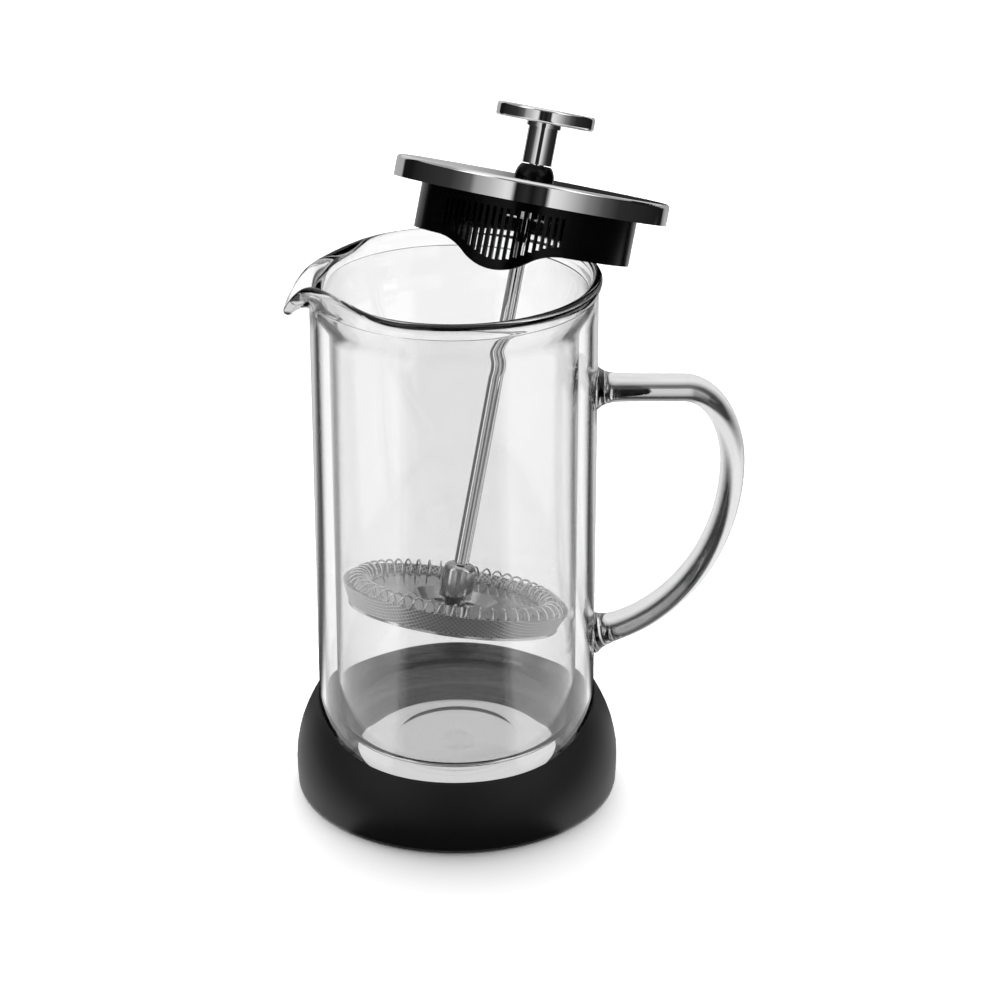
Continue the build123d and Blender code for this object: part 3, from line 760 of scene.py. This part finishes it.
def cavity_profile(angle):
    """Air between the two walls, from its floor up the outer wall and down the inner vessel."""
    sizes = settings().carafe
    toe, corner = glass_rounds()
    inside = sizes.wall_radius - sizes.wall
    vessel = sizes.bore_radius + sizes.vessel_wall
    tip = (inside - CAVITY_ROUND, mouth(angle) - MOUTH_WEB)
    round_under = sizes.floor_round + sizes.vessel_wall
    sole = sizes.sole_height + sizes.wall
    neck = (vessel, sizes.neck_height)
    middle = (0, sizes.floor_height - sizes.vessel_wall)
    radii = [toe[0] * step / RIDGE_STEPS for step in range(RIDGE_STEPS)]
    points = [(radius, sole + sole_ridges(radius)) for radius in radii]
    points += arc(toe, sizes.sole_round - sizes.wall, -pi / 2, 0, TOE_STEPS)
    points += line((inside, toe[1]), (inside, tip[1]), WALL_STEPS)
    points += arc(tip, CAVITY_ROUND, 0, pi, TIP_STEPS)
    points += flare((inside - 2 * CAVITY_ROUND, tip[1]), neck)
    points += line(neck, (vessel, corner[1]), WALL_STEPS)
    points += arc(corner, round_under, 0, -pi / 2, CORNER_STEPS)
    points += line((corner[0], middle[1]), middle, UNDER_STEPS)
    return points + [middle]


HANDLE_SIDES = 48
ARM_STEPS, BEND_STEPS, SWEEP_STEPS, END_STEPS = 36, 32, 60, 24
WELD_CROWDING = 1.6
WELD_DEPTH = 0.55
WELD_FALL = 1.5 * MM


def handle_path():
    """Middle line of the handle as x, z and direction, from wall to wall."""
    sizes = settings().handle
    carafe = settings().carafe
    start = carafe.wall_radius - carafe.wall * WELD_DEPTH
    grip = carafe.wall_radius + sizes.reach
    low = sizes.top - sizes.bend_height
    stations = []
    for step in range(ARM_STEPS):
        share = (step / ARM_STEPS) ** WELD_CROWDING
        stations.append((start + (grip - sizes.bend - start) * share, sizes.top, 0.0))
    for step in range(BEND_STEPS + 1):
        turn = pi / 2 * step / BEND_STEPS
        stations.append((grip - sizes.bend + sizes.bend * sin(turn),
                         low + sizes.bend_height * cos(turn),
                         atan2(sizes.bend_height * sin(turn), sizes.bend * cos(turn))))
    for step in range(1, SWEEP_STEPS + 1):
        turn = sizes.sweep_angle * step / SWEEP_STEPS
        stations.append((grip - sizes.sweep + sizes.sweep * cos(turn),
                         low - sizes.sweep_height * sin(turn),
                         atan2(sizes.sweep_height * cos(turn), -sizes.sweep * sin(turn))))
    end_x, end_z, way = stations[-1]
    run = (end_x - start) / -cos(way)
    for step in range(1, END_STEPS + 1):
        share = 1 - (1 - step / END_STEPS) ** WELD_CROWDING
        stations.append((end_x + run * share * cos(way), end_z - run * share * sin(way), way))
    return stations


def handle_mesh():
    """Handle of an oval section, thicker towards the wall at both ends."""
    sizes = settings().handle
    wall = settings().carafe.wall_radius
    centres, rings = [], []
    for x, z, way in handle_path():
        weld = sizes.weld * 2.0 ** -(max(0.0, x - wall) / WELD_FALL)
        wide, thick = sizes.width / 2 + weld, sizes.thickness / 2 + weld
        out = Vector((sin(way), 0, cos(way)))
        centre = Vector((x, 0, z))
        centres.append(centre)
        rings.append([centre + Vector((0, wide * cos(side), 0)) + out * (thick * sin(side))
                      for side in full_turn(HANDLE_SIDES)])
    return tube(rings, centres)


def join_solid(piece, vertices, faces):
    """Fuses another closed mesh with a piece."""
    mesh = bpy.data.meshes.new("tool")
    mesh.from_pydata(vertices, [], faces)
    tool = bpy.data.objects.new("tool", mesh)
    bpy.context.scene.collection.objects.link(tool)
    fuse = piece.modifiers.new("fuse", "BOOLEAN")
    fuse.operation = "UNION"
    fuse.solver = "MANIFOLD"
    fuse.object = tool
    graph = bpy.context.evaluated_depsgraph_get()
    fused = bpy.data.meshes.new_from_object(piece.evaluated_get(graph))
    piece.modifiers.clear()
    old = piece.data
    piece.data = fused
    fused.name = old.name
    bpy.data.meshes.remove(old)
    bpy.data.objects.remove(tool)
    bpy.data.meshes.remove(mesh)
    fused.shade_smooth()


class PRESS_OT_carafe_glass(bpy.types.Operator):
    """Double-walled carafe with its lip, spout and handle, as one body of glass"""
    bl_idname = "press.carafe_glass"
    bl_label = "Carafe glass"

    def execute(self, context):
        count = settings().carafe.segments
        vertices, faces = lathe(glass_profile, count)
        inner, inner_faces = lathe(cavity_profile, count)
        start = len(vertices)
        vertices += inner
        faces += [tuple(start + index for index in reversed(face)) for face in inner_faces]
        piece = new_piece("carafe_glass", vertices, faces, clear_glass(), "carafe",
                          "outer_glass", "inner_glass", "glass_handle")
        join_solid(piece, *handle_mesh())
        return {"FINISHED"}


# Foot

# Outside of the foot: share of its height, share of its radius
FOOT_OUTSIDE = ((0.08, 0.997), (0.16, 0.999), (0.27, 1.0), (0.38, 0.997), (0.5, 0.985),
                (0.62, 0.967), (0.72, 0.946), (0.82, 0.921), (0.91, 0.895), (0.97, 0.876))
# Rounded edges: in from the outside and up from the table, out from the glass and down from the top
FOOT_HEEL = ((0.7 * MM, 0), (0.25 * MM, 0.5 * MM))
FOOT_EDGE = ((0.7 * MM, 0.1 * MM), (0.3 * MM, 0), (0, 0.3 * MM))
FOOT_GAP = 0.2 * MM
FOOT_WAVE = 5
FOOT_STEPS = 192
FOOT_SHARP = radians(40)


def foot_top(angle):
    """Height of the foot's waved top edge at an angle round the carafe."""
    sizes = settings().foot
    level = sizes.front + (sizes.back - sizes.front) * (1 + sin(angle)) / 2
    middle = (sizes.front + sizes.back) / 2
    return level + (sizes.side - middle) * abs(cos(angle)) ** FOOT_WAVE


def foot_ring(angle):
    """Section of the foot: outside, waved edge, wall round the glass, ledge and hollow."""
    sizes = settings().foot
    top = foot_top(angle)
    inside = settings().carafe.wall_radius + FOOT_GAP
    under = sizes.seat - sizes.ledge
    points = [(sizes.radius - back, up) for back, up in FOOT_HEEL]
    points += [(sizes.radius * share, top * high) for high, share in FOOT_OUTSIDE]
    points += [(inside + out, top - down) for out, down in FOOT_EDGE]
    points += [(inside, sizes.seat), (sizes.opening, sizes.seat), (sizes.opening, under),
               (sizes.hollow, under), (sizes.hollow, 0)]
    return points


class PRESS_OT_foot(bpy.types.Operator):
    """Flared black foot whose top edge rises at both sides"""
    bl_idname = "press.foot"
    bl_label = "Foot"

    def execute(self, context):
        rings = [around(foot_ring(turn), turn) for turn in full_turn(FOOT_STEPS)]
        vertices, faces = tube(rings)
        faces = [tuple(reversed(face)) for face in faces]
        piece = new_piece("foot", vertices, faces, matte_black(), "carafe", "base_foot")
        piece.data.set_sharp_from_angle(angle=FOOT_SHARP)
        return {"FINISHED"}


# Plunger

COIL_STEPS = 28
COIL_AHEAD = 0.001
WIRE_SIDES = 10


def coil_point(turns):
    """Middle of the wire after a number of turns, in the frame of the filter."""
    sizes = settings().filter
    roll = 2 * pi * turns
    along = 2 * pi * turns / (sizes.turns + 1)
    out = sizes.coil_ring + sizes.coil_radius * cos(roll)
    return Vector((out * cos(along), out * sin(along),
                   sizes.coil_height + sizes.coil_radius * sin(roll)))


class PRESS_OT_coil_spring(bpy.types.Operator):
    """Coil spring threaded round the flange of the plate"""
    bl_idname = "press.coil_spring"
    bl_label = "Coil spring"

    def execute(self, context):
        sizes = settings().filter
        half = sizes.wire / 2
        centres, rings = [], []
        for step in range(COIL_STEPS * sizes.turns + 1):
            turns = step / COIL_STEPS
            point = coil_point(turns)
            way = (coil_point(turns + COIL_AHEAD) - coil_point(turns - COIL_AHEAD)).normalized()
            middle = Vector((point.x, point.y, 0)).normalized() * sizes.coil_ring
            out = point - Vector((middle.x, middle.y, sizes.coil_height))
            out = (out - way * out.dot(way)).normalized()
            aside = way.cross(out)
            centres.append(FILTER @ point)
            rings.append([FILTER @ (point + (out * cos(side) + aside * sin(side)) * half)
                          for side in full_turn(WIRE_SIDES)])
        vertices, faces = tube(rings, centres)
        piece = new_piece("spring_coil", vertices, faces, spring_wire(), "plunger", "coil_spring")
        return {"FINISHED"}


def dress(material, *names):
    """Gives CAD nodes a finish."""
    for name in names:
        slots = frame["nodes"][name].data.materials
        slots.clear()
        slots.append(material)


class PRESS_OT_steel_parts(bpy.types.Operator):
    """Steel of the lid and the plunger, and the woven mesh"""
    bl_idname = "press.steel_parts"
    bl_label = "Steel parts"

    def execute(self, context):
        dress(polished_steel(), "lid_cap", "bush_nut", "knob_disc", "knob_stem", "plunger_rod")
        dress(stamped_steel(), "filter_hub", "spring_plate", "bottom_plate", "screw_washer",
              "clamp_screw")
        dress(woven_mesh(), "mesh_screen")
        return {"FINISHED"}


class PRESS_OT_black_parts(bpy.types.Operator):
    """Black lid insert and bush, and the vent plug"""
    bl_idname = "press.black_parts"
    bl_label = "Black parts"

    def execute(self, context):
        dress(gloss_black(), "lid_insert", "lid_bush")
        dress(silicone(), "vent_plug")
        return {"FINISHED"}


# Stage

def both_sides(*right):
    """Bands that are the same on the left as on the right."""
    return tuple((-angle, strength) for angle, strength in reversed(right)) + right


# Brightness of the studio in mirrors, by the turn in degrees from the camera's side to the right
LEFT_BANDS = ((-137, 0.01), (-122, 0.01), (-115, 0.02), (-75, 0.04), (-64, 0.08), (-55, 0.14),
              (-50, 0.4), (-38, 0.55), (-22, 0.9), (-18, 0.8), (-14.5, 0.01))
RIGHT_BANDS = ((12, 0.01), (15, 0.95), (24, 0.8), (36, 0.5), (46, 0.25), (60, 0.09), (75, 0.03))
WALL_BANDS = ((-180, 0.8), (-140, 0.6), *LEFT_BANDS, (-5, 0.03), (0, 0.01), (7, 0.04),
              *RIGHT_BANDS, (90, 0.02), (124, 0.01), (137, 0.01), (140, 0.6), (180, 0.8))
FAR_BANDS = ((-180, 0.45), (-140, 0.45), *LEFT_BANDS, *RIGHT_BANDS, (137, 0.01), (140, 0.4),
             (166, 0.4), (169, 0.02), (177, 0.03), (179, 0.4), (180, 0.45))
FLOOR_BANDS = both_sides((39, 0.08), (43, 1.2), (121, 1.2), (129, 0.01), (142, 0.01), (147, 0.7),
                         (180, 0.7))
HIGH_BANDS = both_sides((15, 0.2), (30, 0.3), (46, 1.5), (66, 1.7), (80, 0.4), (110, 0.4),
                        (180, 0.6))
# Veil over the bands that the glass shows by its inner reflections
VEIL_SHARE = 0.3
VEIL = 0.5


def studio_bands(name, steps):
    """Group: light and dark bands round the object, by the turn of a direction or a place."""
    group, nodes, given, result = new_group(name, [("Way", "NodeSocketVector", (0, 0, 0))],
                                            [("Brightness", "NodeSocketColor")])
    way = nodes.split(given["Way"])
    turn = nodes.math("ARCTAN2", way["X"], nodes.product(way["Y"], -1.0))
    bands = nodes.add("ShaderNodeValToRGB")
    nodes.join(nodes.math("MULTIPLY_ADD", turn, 0.5 / pi, 0.5), bands.inputs["Fac"])
    stops = bands.color_ramp.elements
    while len(stops) > 1:
        stops.remove(stops[-1])
    for index, (angle, strength) in enumerate(steps):
        place = (angle + 180) / 360
        stop = stops[0] if index == 0 else stops.new(place)
        stop.position = place
        stop.color = grey(strength)
    nodes.join(bands.outputs["Color"], result["Brightness"])
    return group


def place_bands(nodes, name, steps, way):
    """Places bands in a material by a direction or a place; gives their brightness."""
    bands = place_group(nodes, studio_bands(name, steps))
    nodes.join(way, bands.inputs["Way"])
    return bands.outputs["Brightness"]


def any_bounce(nodes, depth):
    """One for rays with such a bounce on their way, none for the others."""
    return nodes.math("GREATER_THAN", depth, 0.5)


def veiled(nodes, rays, bands):
    """Bands as the glass itself shows them by its inner reflections, paler than in steel."""
    in_glass = any_bounce(nodes, rays["Transmission Depth"])
    return nodes.mix(nodes.product(in_glass, VEIL_SHARE), bands, grey(VEIL))


# Limits on the floor, in metres from the carafe's axis; the first ends the painted light under the
# foot
UNDER_FOOT = (0.044, 0.048)
FAR_FLOOR = (0.42, 0.55)


def floor_material():
    """Pale floor with the shadow: white to camera and glass, painted light under the foot, the
    studio's bands in mirrors.
    """
    stage = settings().stage
    material, nodes, shader = new_material("studio_floor", Base_Color=opaque(stage.floor),
                                           Roughness=0.9, Specular_IOR_Level=0.0)
    rays = nodes.add("ShaderNodeLightPath").outputs
    through = rays["Is Transmission Ray"]
    place = nodes.place()
    away = nodes.add("ShaderNodeVectorMath", operation="LENGTH")
    nodes.join(place, away.inputs[0])
    reach = away.outputs["Value"]
    white = nodes.plain("ShaderNodeBsdfDiffuse", nodes.mix(
        through, grey(stage.white_seen), grey(stage.white_through)))
    seen = nodes.math("MAXIMUM", rays["Is Camera Ray"], through)
    view = nodes.blend(seen, shader.outputs["BSDF"], white)
    # Painted light: the shaded floor under the foot glows for rays through the glass
    under = nodes.product(through, nodes.spread(reach, *UNDER_FOOT, 1.0, 0.0))
    view = nodes.blend(under, view, nodes.plain("ShaderNodeEmission", grey(stage.painted_light_under_foot)))
    near = place_bands(nodes, "floor_bands", FLOOR_BANDS, place)
    far = place_bands(nodes, "far_bands", FAR_BANDS, place)
    bands = nodes.mix(nodes.spread(reach, *FAR_FLOOR), near, far)
    mirrored = nodes.plain("ShaderNodeEmission", veiled(nodes, rays, bands))
    nodes.surface(nodes.blend(any_bounce(nodes, rays["Glossy Depth"]), view, mirrored))
    return material


# Light from behind and above; the upper walls, top and ceiling start by the Z of a direction
KEY_TILT = radians(55)
KEY_LIGHT = 3.4
KEY_FALL = 2.0
UPPER_WALLS = (0.34, 0.42)
TOP = (0.75, 0.9)
TOP_LIGHT = 1.0
CEILING = (0.05, 0.2, 1.0, 0.6)


def studio_world():
    """World: lit from above and behind, a darker ceiling through glass, bands in mirrors."""
    world = bpy.data.worlds.new("studio")
    world.use_nodes = True
    nodes = Nodes(world.node_tree)
    way = nodes.place("Generated")
    rise = nodes.split(way)["Z"]
    low = place_bands(nodes, "wall_bands", WALL_BANDS, way)
    high = place_bands(nodes, "high_bands", HIGH_BANDS, way)
    mirror = nodes.mix(nodes.spread(rise, *UPPER_WALLS), low, high)
    mirror = nodes.mix(nodes.spread(rise, *TOP), mirror, grey(TOP_LIGHT))
    towards = nodes.math("MAXIMUM", nodes.dot(way, (0, sin(KEY_TILT), cos(KEY_TILT))), 0.0)
    behind = nodes.product(nodes.math("POWER", towards, KEY_FALL), KEY_LIGHT)
    rays = nodes.add("ShaderNodeLightPath").outputs
    seen = nodes.mix(rays["Is Transmission Ray"], behind, nodes.spread(rise, *CEILING))
    seen = nodes.mix(any_bounce(nodes, rays["Glossy Depth"]), seen, veiled(nodes, rays, mirror))
    nodes.join(seen, world.node_tree.nodes["Background"].inputs["Color"])
    bpy.context.scene.world = world


SOFTBOX_PLACE = (0.9, -0.44, 0.30)
SOFTBOX_SIZE = (0.28, 0.5)
SOFTBOX_POWER = 0.6
SOFTBOX_AIM = Vector((0, 0, 0.06))


def softbox(name, side):
    """A soft rectangular lamp beside the carafe that faces it; unseen in mirrors."""
    lamp = bpy.data.lights.new(name, "AREA")
    lamp.shape = "RECTANGLE"
    lamp.size, lamp.size_y = SOFTBOX_SIZE
    lamp.energy = SOFTBOX_POWER
    piece = bpy.data.objects.new(name, lamp)
    place = Vector((side * SOFTBOX_PLACE[0], *SOFTBOX_PLACE[1:]))
    piece.location = place
    piece.rotation_euler = (SOFTBOX_AIM - place).to_track_quat("-Z", "Y").to_euler()
    piece.visible_glossy = False
    bpy.context.scene.collection.objects.link(piece)


class PRESS_OT_stage(bpy.types.Operator):
    """Camera, floor, world and lamps"""
    bl_idname = "press.stage"
    bl_label = "Stage"

    def execute(self, context):
        stage = settings().stage
        camera = bpy.data.cameras.new("camera")
        camera.lens = stage.lens
        camera.sensor_width = 36.0
        camera.clip_end = 100.0
        viewer = bpy.data.objects.new("camera", camera)
        viewer.location = stage.camera_place
        viewer.rotation_euler = (stage.camera_tilt, 0, 0)
        context.scene.collection.objects.link(viewer)
        context.scene.camera = viewer
        half = stage.floor_size / 2
        mesh = bpy.data.meshes.new("floor")
        mesh.from_pydata([(-half, -half, 0), (half, -half, 0), (half, half, 0), (-half, half, 0)],
                         [], [(0, 1, 2, 3)])
        mesh.materials.append(floor_material())
        floor = bpy.data.objects.new("floor", mesh)
        context.scene.collection.objects.link(floor)
        studio_world()
        softbox("softbox_left", -1)
        softbox("softbox_right", 1)
        context.scene.view_settings.view_transform = "Standard"
        return {"FINISHED"}


class PRESS_PT_panel(bpy.types.Panel):
    """Lists the pieces of the french press"""
    bl_idname = "PRESS_PT_panel"
    bl_label = "French press"
    bl_space_type = "VIEW_3D"
    bl_region_type = "UI"
    bl_category = "French press"

    def draw(self, context):
        for piece in PIECES:
            self.layout.operator(piece.bl_idname)


PIECES = (PRESS_OT_carafe_glass, PRESS_OT_foot, PRESS_OT_coil_spring, PRESS_OT_steel_parts,
          PRESS_OT_black_parts, PRESS_OT_stage)
CLASSES = (CarafeSettings, FootSettings, HandleSettings, FilterSettings, FinishSettings,
           StageSettings, PressSettings, *PIECES, PRESS_PT_panel)


def register():
    for entry in CLASSES:
        bpy.utils.register_class(entry)
    bpy.types.Scene.french_press = PointerProperty(type=PressSettings)


def unregister():
    del bpy.types.Scene.french_press
    for entry in reversed(CLASSES):
        bpy.utils.unregister_class(entry)


def main():
    register()
    bpy.ops.press.carafe_glass()
    bpy.ops.press.foot()
    bpy.ops.press.coil_spring()
    bpy.ops.press.steel_parts()
    bpy.ops.press.black_parts()
    bpy.ops.press.stage()


if __name__ == "__main__":
    main()
